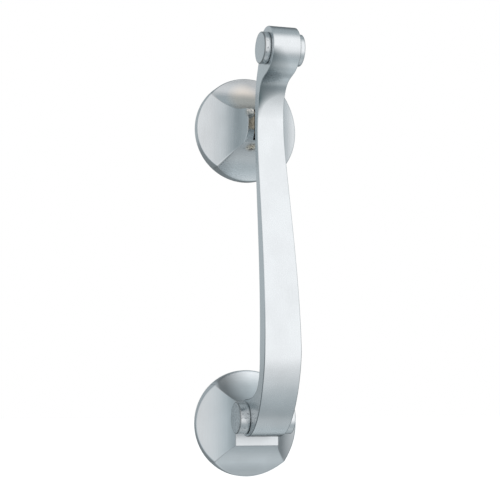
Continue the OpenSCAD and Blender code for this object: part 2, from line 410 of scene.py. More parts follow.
def neck_painted_light(tree):
    """Painted light and shade on the neck's front, from the table above; 1 everywhere else."""
    heights = [stop[0] for stop in NECK_PAINTED_LIGHT]
    colours = [(*(level / FULL_LEVEL for level in stop[1:]), 1) for stop in NECK_PAINTED_LIGHT]
    height = remap(tree, position_value(tree, "Z"), 0, 1, heights[0] * MM, heights[-1] * MM)
    split = tree.nodes.new("ShaderNodeSeparateColor")
    tree.links.new(colour_ramp(tree, height, heights, colours), split.inputs[0])
    edge, reach, rest = split.outputs[0], split.outputs[1], split.outputs[2]
    half = NECK_W / 2 * MM
    across = remap(tree, position_value(tree, "X"), 0, 1 / FULL_LEVEL, -half, half)
    into = math_node(tree, "DIVIDE", across, reach)
    into.node.use_clamp = True
    level = math_node(tree, "MULTIPLY_ADD", into, math_node(tree, "SUBTRACT", rest, edge))
    tree.links.new(edge, level.node.inputs[2])
    return on_front_only(tree, math_node(tree, "MULTIPLY", level, FULL_LEVEL))


# Painted light and shade on the foot: height over the arm's lowest point in mm, and how bright the foot is
# drawn there, with a painted shadow along the sole and a painted highlight just above it.
FOOT_PAINTED_LIGHT = (
    (0.2, 0.65), (1.0, 1.15), (2.2, 1.2), (4.8, 0.98), (8.6, 0.86), (12.5, 0.96), (15.0, 1.0),
    (21.0, 1.0), (26.0, 0.91), (31.0, 1.0),
)
# Painted shade in the arm's glancing reflections, low on the foot, along the sole and on the knuckle's top:
# how much they lose, and the heights in mm where that starts and is complete.
SIDE_GLANCING_LOSS = (0.15, -98.0, -106.0)
FRONT_GLANCING_LOSS = ((0.15, -98.0, -106.0), (0.35, ARM_LOW[2] + 1.4, ARM_LOW[2] + 0.3), (0.4, 28.0, 33.0))


def foot_painted_light(tree):
    """Painted light and shade on the foot's front and sole, from the table above; 1 everywhere else."""
    heights = [stop[0] for stop in FOOT_PAINTED_LIGHT]
    colours = [(*[level / FULL_LEVEL] * 3, 1) for _, level in FOOT_PAINTED_LIGHT]
    sole = ARM_LOW[2]
    height = remap(tree, position_value(tree, "Z"), 0, 1, (sole + heights[0]) * MM, (sole + heights[-1]) * MM)
    shares = colour_ramp(tree, height, heights, colours)
    return on_front_only(tree, math_node(tree, "MULTIPLY", shares, FULL_LEVEL))


def glancing_share(tree):
    """How much of the arm's glancing reflections is left at each height, after the painted shade."""
    height = position_value(tree, "Z")

    def loss_at(loss, start, complete):
        return remap(tree, height, 0, loss, start * MM, complete * MM)

    side_loss = loss_at(*SIDE_GLANCING_LOSS)
    front_loss = 0.0
    for stretch in FRONT_GLANCING_LOSS:
        front_loss = math_node(tree, "ADD", front_loss, loss_at(*stretch))
    difference = math_node(tree, "SUBTRACT", front_loss, side_loss)
    extra = math_node(tree, "MULTIPLY", difference, facing_forward(tree))
    return math_node(tree, "SUBTRACT", 1.0, math_node(tree, "ADD", side_loss, extra))


CHROME_DULL, CHROME_BRIGHT = (0.61845, 0.65565, 0.67425), (0.71155, 0.75435, 0.77575)
# Greys for painted shade in corners and seams, for darkened edges, and for pits in the plating.
CREVICE_SHADE_GREY, EDGE_GREY, PIT_GREY = (0.16, 0.18, 0.19), (0.10, 0.12, 0.13), (0.12, 0.14, 0.16)
NECK_SHADE = (0.03, 0.065, 0.075)
# Colours of the warm patches: the even one is a painted reflection of the brass tongue.
WARM_PATCH_DARK, WARM_PATCH_LIGHT = (0.06, 0.04, 0.03), (0.98, 0.90, 0.74)
BRASS_REFLECTION = (0.76, 0.68, 0.59)
CUT_BRASS = (0.60, 0.50, 0.38)


def brush_lines(tree, across, along, flat):
    """Fine lines up the piece, or along each cove of a rose when flat."""
    upright = stretched_noise(tree, (across, across, along), 5, 0.7)
    if not flat:
        return upright
    level = stretched_noise(tree, (along, across, across), 5, 0.7)
    blend = tree.nodes.new("ShaderNodeMix")
    tree.links.new(facing_sideways(tree), blend.inputs[0])
    tree.links.new(level, blend.inputs[2])
    tree.links.new(upright, blend.inputs[3])
    return blend.outputs[0]


def arm_painted_light(tree, shader, base):
    """Painted light and shade on the arm's neck and foot, and painted shade in its glancing reflections."""
    neck = neck_painted_light(tree)
    base = scaled_colour(tree, base, math_node(tree, "MAXIMUM", neck, 1.0))
    base = mix_colour(tree, math_node(tree, "MINIMUM", neck, 1.0), NECK_SHADE, base)
    tree.links.new(glancing_share(tree), shader.inputs["Specular Tint"])
    return scaled_colour(tree, base, foot_painted_light(tree))


def add_warm_patches(tree, base, warm_patches):
    """Warm patches, two of them painted reflections of the brass tongue, and the brass of the cut faces."""
    mottle = stretched_noise(tree, (1300, 1300, 1300), 3, 0.7)
    # Mottled warm colour; under the slot it is a painted reflection of the brass tongue with a painted
    # highlight.
    bare = mix_colour(tree, remap(tree, mottle, 0, 1, 0.45, 0.56), WARM_PATCH_DARK, WARM_PATCH_LIGHT)
    for place, radius, amount, ragged in warm_patches:
        patch = patch_mask(tree, place, radius, amount, ragged, mottle)
        base = mix_colour(tree, patch, base, bare if ragged else BRASS_REFLECTION)
    return mix_colour(tree, attribute_value(tree, "brass"), base, CUT_BRASS)


def satin_chrome(name, brush_across=2600, brush_along=60, flat_brush=False, rough=0.25, anisotropy=0.3,
                 toned=False, dark_edges=(0.0, 0.0), warm_patches=(), arm=False, ripple_depth=0.06, specks=0.0):
    """Satin chrome plate. Brush lines run up the arm, and along each cove of the roses (flat_brush).

    dark_edges is how far edges are darkened high up and low down on the piece, painted shade on the roses,
    and the patches are warm patches, two of them painted reflections of the brass tongue: (middle in mm,
    radius in mm, how far, how ragged). arm adds the arm's painted light and shade, and specks is how dark the
    small pits in the plating are."""
    material, tree, shader = new_material(name)
    lines = brush_lines(tree, brush_across, brush_along, flat_brush)
    cloud = stretched_noise(tree, (110, 110, 80), 3, 0.5)
    ripple = stretched_noise(tree, (160, 160, 90), 1, 0.4)
    edges = rounded_edge(tree) if arm else edge_mask(tree, 0.35)
    crevice_shade = crevice_shade_mask(tree, 0.9)
    cloudy = remap(tree, cloud, 0, 0.5, 0.35, 0.65)
    lined = remap(tree, lines, 0, 0.5, 0.3, 0.7)
    base = mix_colour(tree, math_node(tree, "ADD", cloudy, lined), CHROME_DULL, CHROME_BRIGHT)
    # Painted shade: corners and seams drawn darker.
    base = mix_colour(tree, math_node(tree, "MULTIPLY", crevice_shade, 0.75), base, CREVICE_SHADE_GREY)
    # Painted shade along the edges of the roses; on the arm its lower edges are drawn darker.
    edge_share = remap(tree, position_value(tree, "Z"), dark_edges[1], dark_edges[0], -0.1, -0.075)
    base = mix_colour(tree, math_node(tree, "MULTIPLY", edges, edge_share), base, EDGE_GREY)
    if specks:
        pits = remap(tree, stretched_noise(tree, (900, 900, 900), 2, 0.5), 0, specks, 0.58, 0.70)
        pitted = math_node(tree, "MULTIPLY", pits, attribute_value(tree, "cast"))
        base = mix_colour(tree, pitted, base, PIT_GREY)
    # Painted light and shade stored at each point.
    if toned:
        base = scaled_colour(tree, base, attribute_value(tree, "tone"))
    if arm:
        base = arm_painted_light(tree, shader, base)
    if warm_patches:
        base = add_warm_patches(tree, base, warm_patches)
    tree.links.new(base, shader.inputs["Base Color"])
    shader.inputs["Metallic"].default_value = 1
    grain = remap(tree, lines, rough - 0.035, rough + 0.035, 0.35, 0.65)
    blotch = remap(tree, cloud, -0.025, 0.025, 0.3, 0.7)
    tree.links.new(math_node(tree, "ADD", grain, blotch), shader.inputs["Roughness"])
    shader.inputs["Anisotropic"].default_value = anisotropy
    tangent = tree.nodes.new("ShaderNodeTangent")
    tangent.direction_type = "RADIAL"
    tangent.axis = "Z"
    tree.links.new(tangent.outputs[0], shader.inputs["Tangent"])
    add_bumps(tree, shader, ((lines, 0.012, 0.07), (ripple, ripple_depth, 0.2)))
    return material


def raw_metal(name, light, dark, rough, grain_scale, bump_mm):
    """Unplated metal with a cast or filed surface."""
    material, tree, shader = new_material(name)
    noise = stretched_noise(tree, (grain_scale,) * 3, 6, 0.65)
    crevice_shade = crevice_shade_mask(tree, 1.5)
    base = mix_colour(tree, remap(tree, noise, 0, 1, 0.35, 0.65), dark, light)
    # Painted shade: corners and seams drawn darker.
    base = mix_colour(tree, math_node(tree, "MULTIPLY", crevice_shade, 0.8), base, (0.06, 0.05, 0.04))
    tree.links.new(base, shader.inputs["Base Color"])
    shader.inputs["Metallic"].default_value = 1
    tree.links.new(remap(tree, noise, rough - 0.08, rough + 0.1, 0.3, 0.7), shader.inputs["Roughness"])
    bump = tree.nodes.new("ShaderNodeBump")
    bump.inputs["Strength"].default_value = 0.5
    bump.inputs["Distance"].default_value = bump_mm * MM
    tree.links.new(noise, bump.inputs["Height"])
    tree.links.new(bump.outputs[0], shader.inputs["Normal"])
    return material


arm_chrome = satin_chrome("satin_chrome_arm", brush_across=3600, brush_along=50, dark_edges=(0.0, 0.8),
                          arm=True)
UPPER_WARM_PATCHES = (
    ((-2.2, -17.0, -9.6), 2.9, 1.0, 1.2),       # under the slot, a painted reflection of the brass tongue with a painted highlight
    ((-2.0, -8.5, 12.5), 8.0, 0.6, 0.0),        # above the hinge, a painted warm reflection of the brass tongue
    ((-4.0, -22.0, 4.5), 3.0, 0.5, 0.2),        # top of the left cheek
)
upper_chrome = satin_chrome("satin_chrome_upper_rose", flat_brush=True, anisotropy=0.15, toned=True,
                            dark_edges=(0.6, 0.6), warm_patches=UPPER_WARM_PATCHES, ripple_depth=0.02)
lower_chrome = satin_chrome("satin_chrome_lower_rose", flat_brush=True, anisotropy=0.1, rough=0.38,
                            toned=True, dark_edges=(0.6, 0.6), ripple_depth=0.02)
button_chrome = satin_chrome("satin_chrome_button", brush_across=1500, brush_along=1500, anisotropy=0.0,
                             toned=True, specks=0.7)
brass = raw_metal("raw_brass", (0.82, 0.70, 0.52), (0.44, 0.35, 0.25), 0.42, 1400, 0.06)
zinc = raw_metal("zinc_plate", (0.74, 0.75, 0.77), (0.60, 0.62, 0.65), 0.34, 900, 0.01)


# ---- Roses ----

def cove_centre(p, q, radius):
    """The centre of the circle of that radius through p and q, on the side away from the rose's axis."""
    p, q = np.array(p, float), np.array(q, float)
    chord = q - p
    half = np.linalg.norm(chord) / 2
    rise = math.sqrt(radius ** 2 - half ** 2)
    side = -1 if chord[0] < 0 else 1
    return (p + q) / 2 + rise * np.array([-chord[1], chord[0]]) * side / (2 * half)


def cove_height(u, cove):
    """Height of a cove over the door at distance u from the axis, measured towards that cove."""
    rim, corner, radius = cove
    centre = cove_centre((ROSE_R, rim), corner, radius)
    inside = np.clip(radius ** 2 - (u - centre[0]) ** 2, 0, None)
    height = centre[1] - np.sqrt(inside)
    steep = (centre[0] - radius - u) * 8
    return np.where(u < centre[0] - radius, centre[1] + steep, height)


def soft_min(a, b, blend=0.5):
    overlap = np.clip(blend - np.abs(a - b), 0, None) / blend
    return np.minimum(a, b) - overlap ** 2 * blend / 4


def lower_height(x, z):
    side = cove_height(np.abs(x), LOWER_SIDE_COVE)
    end = cove_height(np.abs(z), LOWER_END_COVE)
    return soft_min(soft_min(side, end), np.full_like(x, PLATFORM_H), 0.35)


def upper_height(x, z):
    side = cove_height(np.abs(x), UPPER_SIDE_COVE)
    top = cove_height(z, UPPER_TOP_COVE)
    bottom = cove_height(-z, UPPER_BOTTOM_COVE)
    front = BOSS_H - BOSS_FRONT_R + np.sqrt(np.clip(BOSS_FRONT_R ** 2 - z ** 2, 0, None))
    front = np.maximum(front, BOSS_SHOULDER)
    return soft_min(soft_min(soft_min(side, top), bottom, 0.8), front, 0.6)


def ridge_shade(*heights):
    """Painted shade along the ridges, where the two lowest of the given surfaces meet."""
    lowest = np.sort(np.stack(heights), axis=0)
    apart = lowest[1] - lowest[0]
    return 1 - (1 - RIDGE_SHADE) * np.exp(-(apart / 0.3) ** 2)


def lowest_share(this, other):
    """1 where this cove is the surface, 0 where the other one is, with a soft step between."""
    return np.clip((other - this) / 0.5 + 0.5, 0, 1)


def beyond(distance, start):
    """0 up to start, then a soft step to 1."""
    return np.clip((distance - start) / 0.5, 0, 1)


def shared_tone(share, tone):
    """The tone where share is 1, clean plating where it is 0."""
    return 1 - share * (1 - tone)


def upper_cove_painted_light(verts):
    """Painted light and shade on the upper rose: painted shade in the cove above the hinge and on the ridges,
    and in the cove below it painted shade near the boss and a painted highlight near the rim."""
    x, z = verts[:, 0], verts[:, 2]
    side = cove_height(np.abs(x), UPPER_SIDE_COVE)
    top = cove_height(z, UPPER_TOP_COVE)
    bottom = cove_height(-z, UPPER_BOTTOM_COVE)
    on_top = lowest_share(top, side) * beyond(z, 6.0)
    on_bottom = lowest_share(bottom, side) * beyond(-z, 6.0)
    on_side = (1 - on_top) * (1 - on_bottom)
    top_tone = np.interp(z, (9.0, 12.0, 15.0, 19.5), (1.0, 0.95, TOP_COVE_SHADE, TOP_RIM_SHADE))
    top_tone = top_tone * np.interp(x, (-4.0, 0.0), (1.0, 0.88))
    bottom_tone = np.interp(-z, (10.0, 12.0, 15.0, 19.5), (0.80, 0.84, 1.0, 1.23))
    bottom_tone = bottom_tone * np.interp(x, (-12.0, -7.0), (0.78, 1.0))
    side_tone = np.interp(x, (-13.0, -10.9, -8.6, -6.8, -6.0), (1.0, 0.95, 0.9, 0.96, 1.0))
    tones = shared_tone(on_top, top_tone) * shared_tone(on_bottom, bottom_tone)
    return tones * shared_tone(on_side, side_tone) * ridge_shade(side, top, bottom)


def lower_cove_painted_light(verts):
    """Painted light and shade on the lower rose: its top cove darker towards the left end and brighter
    towards the right, a painted highlight in its bottom cove, its right cove darker, and painted shade on the
    ridges.
    """
    x, z = verts[:, 0], verts[:, 2]
    side = cove_height(np.abs(x), LOWER_SIDE_COVE)
    top = cove_height(z, LOWER_END_COVE)
    ends = cove_height(np.abs(z), LOWER_END_COVE)
    on_top = lowest_share(top, side) * beyond(z, 6.0)
    on_bottom = lowest_share(ends, side) * beyond(-z, 9.0)
    on_side = lowest_share(side, ends)
    top_tone = np.interp(x, (-14.6, -13.4, -10.6, -4, 1), (0.95, 0.46, 0.5, 1.02, 1.3))
    bottom_tone = np.interp(-z, (9.5, 11.7, 16.1, 20.1), (1.0, 1.03, 1.18, 0.98))
    side_tone = np.interp(x, (-14.0, -11.5, -9.5, 9.5, 13.0), (1.0, 1.08, 1.0, 1.0, 0.84))
    ridges = ridge_shade(side, ends, np.full_like(x, PLATFORM_H))
    tones = shared_tone(on_top, top_tone) * shared_tone(on_bottom, bottom_tone)
    return tones * shared_tone(on_side, side_tone) * ridges


BACK_EDGE = 0.3             # the small rounding where a rose meets the door


def rose_rings(height, sectors, radii, rim_round=0.5):
    """Rings of a rose from its front's middle, over the rim and across its back to the tapped hole."""
    angles = np.linspace(0, 2 * math.pi, sectors, endpoint=False)
    c, s = np.cos(angles), np.sin(angles)

    def ring(r, h):
        r, h = np.broadcast_to(r, c.shape), np.broadcast_to(h, c.shape)
        return np.stack([r * c, -h, r * s], 1)

    step = 0.05
    slope = (height(c * (ROSE_R - step), s * (ROSE_R - step)) - height(c * ROSE_R, s * ROSE_R)) / step
    start = np.arctan(np.clip(slope, 0, 3))
    inner = ROSE_R - rim_round
    turn_r = inner + rim_round * np.sin(start)
    turn_h = height(c * turn_r, s * turn_r) - rim_round * np.cos(start)
    rings = [ring(turn_r * t, height(c * turn_r * t, s * turn_r * t)) for t in radii]
    for share in (1, 2, 3, 4, 5):
        a = start + (math.pi / 2 - start) * share / 5
        rings.append(ring(inner + rim_round * np.sin(a), turn_h + rim_round * np.cos(a)))
    rings += [ring(ROSE_R, (turn_h - BACK_EDGE) * k + BACK_EDGE) for k in (0.66, 0.33, 0.0)]
    for a in (0.5, 1.0, math.pi / 2):
        rings.append(ring(ROSE_R - BACK_EDGE * (1 - math.cos(a)), BACK_EDGE * (1 - math.sin(a))))
    rings += [ring(r, 0.0) for r in (ROSE_R * 0.7, ROSE_R * 0.4, TAPPED_R + 0.4, TAPPED_R + 0.2)]
    rings += [ring(TAPPED_R, 0.2), ring(TAPPED_R, TAPPING_DEPTH), ring(TAPPED_R * 0.5, TAPPING_DEPTH)]
    return rings


def spaced(*stretches):
    """Fractions from 0 to 1, from (end, number of steps) stretches."""
    values, at = [], 0.0
    for end, steps in stretches:
        values += list(at + (end - at) * np.arange(1, steps + 1) / steps)
        at = end
    return values


def rose_painted_light(verts, cove_tones):
    """Painted shade on the turned side wall and the back of a rose, which are drawn darker than its front."""
    from_axis = np.hypot(verts[:, 0], verts[:, 2])
    on_front = cove_tones * np.interp(from_axis, (ROSE_R - 0.35, ROSE_R - 0.05), (1.0, RIM_SHADE))
    return np.where(verts[:, 1] > -BACK_EDGE - 0.01, RIM_SHADE, on_front)


def build_lower_rose():
    rings = rose_rings(lower_height, 560, spaced((0.38, 12), (0.62, 44), (1.0, 30)), 1.1)
    verts, faces = closed_surface(rings)
    tones = rose_painted_light(verts, lower_cove_painted_light(verts))
    verts[:, 2] += LOWER_Z
    obj = make_object("lower_rose_casting", verts, faces, lower_chrome, "root",
                      ["lower_rose"])
    set_painted_light(obj, tones)
    recalculate_normals(obj)


def tool_object(name, verts, faces):
    """A shape in millimetres, used only to cut and then removed."""
    mesh = bpy.data.meshes.new(name)
    mesh.from_pydata([tuple(np.array(v) * MM) for v in verts], [], faces)
    obj = bpy.data.objects.new(name, mesh)
    bpy.context.scene.collection.objects.link(obj)
    return obj


def box_tool(name, low, high):
    verts = [(x, y, z) for x in (low[0], high[0]) for y in (low[1], high[1]) for z in (low[2], high[2])]
    faces = [(0, 1, 3, 2), (4, 6, 7, 5), (0, 4, 5, 1), (2, 3, 7, 6), (0, 2, 6, 4), (1, 5, 7, 3)]
    return tool_object(name, verts, faces)


def cylinder_tool(name, origin, axis, radius, length):
    verts, faces = closed_surface(lathe([(0, radius), (length, radius)], origin, axis, 64))
    obj = tool_object(name, verts, faces)
    recalculate_normals(obj)
    return obj


def cut(obj, tool):
    boolean = obj.modifiers.new("cut", "BOOLEAN")
    boolean.object = tool
    boolean.operation = "DIFFERENCE"
    boolean.solver = "EXACT"
    apply_modifiers(obj)
    bpy.data.objects.remove(tool)


def cut_to_brass(obj, tool):
    """Cuts, and leaves the cut faces bare brass, drawn darker as painted shade."""
    set_painted_light(tool, [CUT_TONE] * len(tool.data.vertices))
    mark_brass(tool, 1.0)
    cut(obj, tool)


def build_upper_rose():
    rings = rose_rings(upper_height, 520, spaced((0.24, 16), (0.5, 48), (1.0, 44)))
    verts, faces = closed_surface(rings)
    tones = rose_painted_light(verts, upper_cove_painted_light(verts))
    verts[:, 2] += UPPER_Z
    obj = make_object("upper_rose_casting", verts, faces, upper_chrome, "root",
                      ["upper_rose"])
    set_painted_light(obj, tones)
    recalculate_normals(obj)
    mark_brass(obj, 0.0)
    slot_low = (-SLOT_W / 2, -60, UPPER_Z - SLOT_DOWN)
    slot_high = (SLOT_W / 2, -SLOT_FLOOR, UPPER_Z + SLOT_UP)
    cut_to_brass(obj, box_tool("slot", slot_low, slot_high))
    pin_low, pin_high = box_mm("pivot_pin")
    pin_r = (pin_high[1] - pin_low[1]) / 2
    cut_to_brass(obj, cylinder_tool("pin_bore", (pin_low[0], *PIN), (1, 0, 0), pin_r + 0.02, 30))


# ---- Arm ----

def bezier(p0, p1, p2, p3, steps):
    t = np.arange(steps)[:, None] / steps
    p0, p1, p2, p3 = (np.array(p, float) for p in (p0, p1, p2, p3))
    return (1 - t) ** 3 * p0 + 3 * (1 - t) ** 2 * t * p1 + 3 * (1 - t) * t ** 2 * p2 + t ** 3 * p3


def arc(centre, radius, start, stop, steps):
    a = np.radians(start + (stop - start) * np.arange(steps) / steps)
    return np.array(centre) + radius * np.stack([np.cos(a), np.sin(a)], 1)


def arm_side():
    """The arm's side view as y, z points: down the front, round the striker, up the back, over the
    scroll."""
    neck = (-NECK_FRONT, -5)
    belly = (-BELLY_FRONT, -BELLY_DOWN)
    belly_inside = (-BELLY_BACK, -BELLY_DOWN - 2)
    neck_inside = (-NECK_BACK, 2)
    way_out = math.radians(180 + SCROLL_EXIT)
    scroll_exit = SCROLL + SCROLL_R * np.array([math.cos(way_out), math.sin(way_out)])
    exit_handle = scroll_exit + 12.4 * np.array([-math.sin(way_out), math.cos(way_out)])
    below_striker = STRIKER - (0, STRIKER_R)
    above_striker = STRIKER + (0, STRIKER_R)
    behind_scroll = SCROLL + (SCROLL_R, 0)
    return np.vstack([
        bezier(scroll_exit, exit_handle, (-NECK_FRONT, 22), neck, 48),
        bezier(neck, (-NECK_FRONT, -20), (-BELLY_FRONT, 34 - BELLY_DOWN), belly, 100),
        bezier(belly, (-BELLY_FRONT, -BELLY_DOWN - 8), below_striker - (18, 0), below_striker, 56),
        arc(STRIKER, STRIKER_R, -90, 90, 48),
        bezier(above_striker, above_striker - (12, 0), (-BELLY_BACK, -BELLY_DOWN - 16), belly_inside, 40),
        bezier(belly_inside, (-BELLY_BACK, 34 - BELLY_DOWN), (-NECK_BACK - 0.1, -20), neck_inside, 100),
        bezier(neck_inside, (-NECK_BACK, 14), behind_scroll + (1, -5.5), behind_scroll, 32),
        arc(SCROLL, SCROLL_R, 0, 180 + SCROLL_EXIT, 90),
    ])


def half_width(z):
    """Half the arm's width at height z: narrowest at the neck, fullest in the belly."""
    above = NECK_W + (TOP_W - NECK_W) * np.clip((z - NECK_Z) / NECK_RISE, 0, 1)
    flare = NECK_W + (BELLY_W - NECK_W) * np.clip((NECK_Z - z) / (NECK_Z + BELLY_DOWN), 0, 1)
    toe = BELLY_W + (TOE_W - BELLY_W) * np.clip((-BELLY_DOWN - z) / (-BELLY_DOWN - ARM_LOW[2]), 0, 1) ** 2
    return np.where(z > NECK_Z, above, np.where(z > -BELLY_DOWN, flare, toe)) / 2


def slab(outline, half):
    """Points and faces of a side view given thickness: half is its half width, one value or one per point."""
    count = len(outline)
    half = np.broadcast_to(half, (count,))
    verts = np.vstack([np.column_stack([-half, outline]), np.column_stack([half, outline])])
    faces = [tuple(range(count)), tuple(range(2 * count - 1, count - 1, -1))]
    faces += [(i, i + count, (i + 1) % count + count, (i + 1) % count) for i in range(count)]
    return verts, faces


def build_arm():
    outline = arm_side()
    verts, faces = slab(outline, half_width(outline[:, 1]))
    obj = make_object("arm_casting", verts, faces, arm_chrome, "arm", ["arm"])
    recalculate_normals(obj)
    soften_edges(obj, 0.4)


def build_tongue():
    """The hinge tongue on the arm's back: an eye around the pin and a bar that flares into the blade."""
    half = TONGUE_BAR / 2
    root = -NECK_BACK - 0.7
    flare = 3.0
    start = math.degrees(math.asin(half / TONGUE_EYE_R))
    eye = arc(PIN, TONGUE_EYE_R, 180 + start, 540 - start, 72)
    upper = bezier((root + 7, half), (root + 3, half), (root + 0.9, half + 1), (root, half + flare), 12)
    lower = bezier((root, -half - flare), (root + 0.9, -half - 1), (root + 3, -half), (root + 7, -half), 12)
    outline = np.vstack([eye, upper, [(root, half + flare)], lower])
    verts, faces = slab(outline, TONGUE_W / 2)
    obj = make_object("hinge_tongue", verts, faces, brass, "arm", [])
    recalculate_normals(obj)
    cut(obj, cylinder_tool("eye_bore", (-10, *PIN), (1, 0, 0), 2.05, 20))
    soften_edges(obj, 0.25, 2)


# ---- Buttons ----

SPIGOT_R = 3.0
FACE_EDGE = 0.42            # radius of the rounding round a button's face


def button_profile(radius, length, proud, side, face):
    """A button's rings as (distance from its face, radius, tone): face, rounded edge, wall, seam, spigot."""
    chamfer = CHAMFER_SHADE if side < 0 else RIGHT_CHAMFER_SHADE
    wall = WALL_TONE if side < 0 else 1.0
    seam = 1.0 if side < 0 else SEAM_SHADOW
    rounding = quarter(0.0, radius - FACE_EDGE, FACE_EDGE, radius)[1:]
    return [
        (0.04, radius * 0.05, face), (0.04, radius * 0.3, face), (0.04, radius * 0.6, face),
        (0.02, radius * 0.8, face), (0.0, radius - 1.2, face), (0.0, radius - FACE_EDGE - 0.25, face),
        (0.0, radius - FACE_EDGE - 0.12, 0.9 * face),
        *((t, r, chamfer) for t, r in rounding),
        (FACE_EDGE + 0.15, radius, wall), (proud / 2, radius, wall), (proud - 1.3, radius, wall),
        # Painted shadow on a right button's wall beside the arm, and in the seam groove.
        (proud - 0.8, radius, wall * (1 + seam) / 2), (proud - 0.3, radius, wall * seam),
        (proud - 0.1, radius - 0.08, 0.6), (proud - 0.02, radius - 0.1, 0.4), (proud, SPIGOT_R, 1),
        (length - 0.3, SPIGOT_R, 1), (length, SPIGOT_R - 0.3, 1),
    ]


def build_button(node, axis_point, proud, face_tone):
    """A flat disc with a softened edge, a seam groove where it meets the arm, and its spigot."""
    low, high = box_mm(node)
    side = -1 if low[0] < 0 else 1
    face_x = low[0] if side < 0 else high[0]
    radius = (high[2] - low[2]) / 2
    profile = button_profile(radius, high[0] - low[0], proud, side, face_tone)
    origin = (face_x, axis_point[0], axis_point[1])
    segments = 128
    verts, faces = closed_surface(lathe([p[:2] for p in profile], origin, (-side, 0, 0), segments))
    obj = make_object(node + "_disc", verts, faces, button_chrome, "arm", [node])
    # Painted shade on the face's edge, the wall and in the seam.
    set_painted_light(obj, [face_tone] + [p[2] for p in profile for _ in range(segments)] + [1.0])
    cast = [side < 0 and FACE_EDGE < t < proud for t, _, _ in profile]
    set_attribute(obj, "cast", [0.0] + [pitted for pitted in cast for _ in range(segments)] + [0.0])
    recalculate_normals(obj)


# ---- Fixings ----

THREAD_PITCH, THREAD_DEPTH = 1.0, 0.58
SHANK_START, SHANK_END = 2.2, 24.0      # the plain shank of a stud, in mm behind the door's face
THREAD_RUN = 0.6                        # length over which the thread fades in and out


def build_stud(node):
    """A stud with a helical thread at both ends and a plain shank between them."""
    low, high = box_mm(node)
    centre_z = (low[2] + high[2]) / 2
    shank_r = (high[2] - low[2]) / 2
    segments, step = 48, 0.125
    length = high[1] - low[1]
    angles = np.linspace(0, 2 * math.pi, segments, endpoint=False)
    start, end = SHANK_START - low[1], SHANK_END - low[1]
    rings = []
    for t in np.arange(0, length + step / 2, step):
        phase = (t / THREAD_PITCH + angles / (2 * math.pi)) % 1.0
        wave = np.abs(phase * 2 - 1)
        depth = THREAD_DEPTH * np.clip(wave * 1.25 - 0.1, 0, 1)
        taper = max(0.0, THREAD_RUN - min(t, length - t))
        fade = np.clip(min(abs(t - start), abs(t - end)) / THREAD_RUN, 0, 1)
        r = shank_r - 0.03 - depth * fade - taper
        if start <= t <= end:
            r = np.full(segments, shank_r)
        along = np.full(segments, low[1] + t)
        rings.append(np.stack([r * np.cos(angles), along, centre_z + r * np.sin(angles)], 1))
    verts, faces = closed_surface(rings)
    obj = make_object(node + "_threaded", verts, faces, zinc, "root", [node])
    recalculate_normals(obj)


def finish_cad_node(node, material, bevel):
    """A CAD node that stays: a better material, and edges softened by modifiers."""
    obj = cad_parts[node]
    obj.data.materials.clear()
    obj.data.materials.append(material)
    weld = obj.modifiers.new("weld", "WELD")
    weld.merge_threshold = 1e-6
    soften_edges(obj, bevel, 2)
    obj.data.polygons.foreach_set("use_smooth", [True] * len(obj.data.polygons))


build_lower_rose()
build_upper_rose()
build_arm()
build_tongue()
for button, axis_point, proud, face_tone in (
    ("scroll_button_", SCROLL, SCROLL_PROUD, SCROLL_FACE_TONE),
    ("striker_button_", STRIKER, STRIKER_PROUD, STRIKER_FACE_TONE),
):
    for hand in ("left", "right"):
        build_button(button + hand, axis_point, proud, face_tone)
for stud_node in ("upper_stud", "lower_stud"):
    build_stud(stud_node)
finish_cad_node("pivot_pin", brass, 0.1)
for node in ("upper_washer", "lower_washer", "upper_nut", "lower_nut"):
    finish_cad_node(node, zinc, 0.12)


# ---- Stage: floor, light and camera ----

FLOOR_Z = -0.165


def build_floor():
    """A pale floor that the camera sees nearly white, and that the metal's reflections look through."""
    bpy.ops.mesh.primitive_plane_add(size=30, location=(0, 0, FLOOR_Z))
    floor = bpy.context.object
    floor.name = "floor"
    material, tree, shader = new_material("pale_floor")
    shader.inputs["Base Color"].default_value = (0.9, 0.9, 0.9, 1)
    shader.inputs["Roughness"].default_value = 0.9
    shader.inputs["Emission Color"].default_value = (1, 1, 1, 1)
    shader.inputs["Emission Strength"].default_value = 0.5
    path = tree.nodes.new("ShaderNodeLightPath")
    clear = tree.nodes.new("ShaderNodeBsdfTransparent")
    mixer = tree.nodes.new("ShaderNodeMixShader")
    tree.links.new(path.outputs["Is Glossy Ray"], mixer.inputs[0])
    tree.links.new(shader.outputs[0], mixer.inputs[1])
    tree.links.new(clear.outputs[0], mixer.inputs[2])
    output = next(n for n in tree.nodes if n.type == "OUTPUT_MATERIAL")
    tree.links.new(mixer.outputs[0], output.inputs["Surface"])
    floor.data.materials.append(material)


# The studio around the knocker: how bright its wall is at each bearing, in degrees from straight out of the
# door, positive to the right.
WALL_LIGHT = (
    (-180, 0.50), (-160, 0.62), (-128, 0.50), (-106, 0.42), (-90, 0.60), (-72, 0.80), (-40, 0.94),
    (-18, 1.0), (5, 1.20), (20, 1.27), (40, 1.25), (56, 1.12), (85, 0.72), (116, 0.29), (150, 0.29),
    (180, 0.50),
)
# Elevations in degrees: how much of the wall's light shows, and the floor and ceiling that fill in the rest.
WALL_SHARE = (
    (-90, 0.0), (-50, 0.0), (-42, 0.15), (-32, 0.5), (-24, 0.78), (-14, 1.0),
    (42, 1.0), (50, 0.85), (57, 0.55), (64, 0.2), (70, 0.0), (90, 0.0),
)
FILL_LIGHT = (
    (-90, 0.74), (-72, 0.74), (-62, 0.55), (-50, 0.60), (-30, 0.5), (0, 0.4), (58, 0.52), (90, 0.54),
)
# Just below the horizon behind the door plane it is darker, and low on the left it is lighter.
BACK_FLOOR = 0.56
LEFT_TABLE = 0.3
LIGHT_SCALE = 1.5


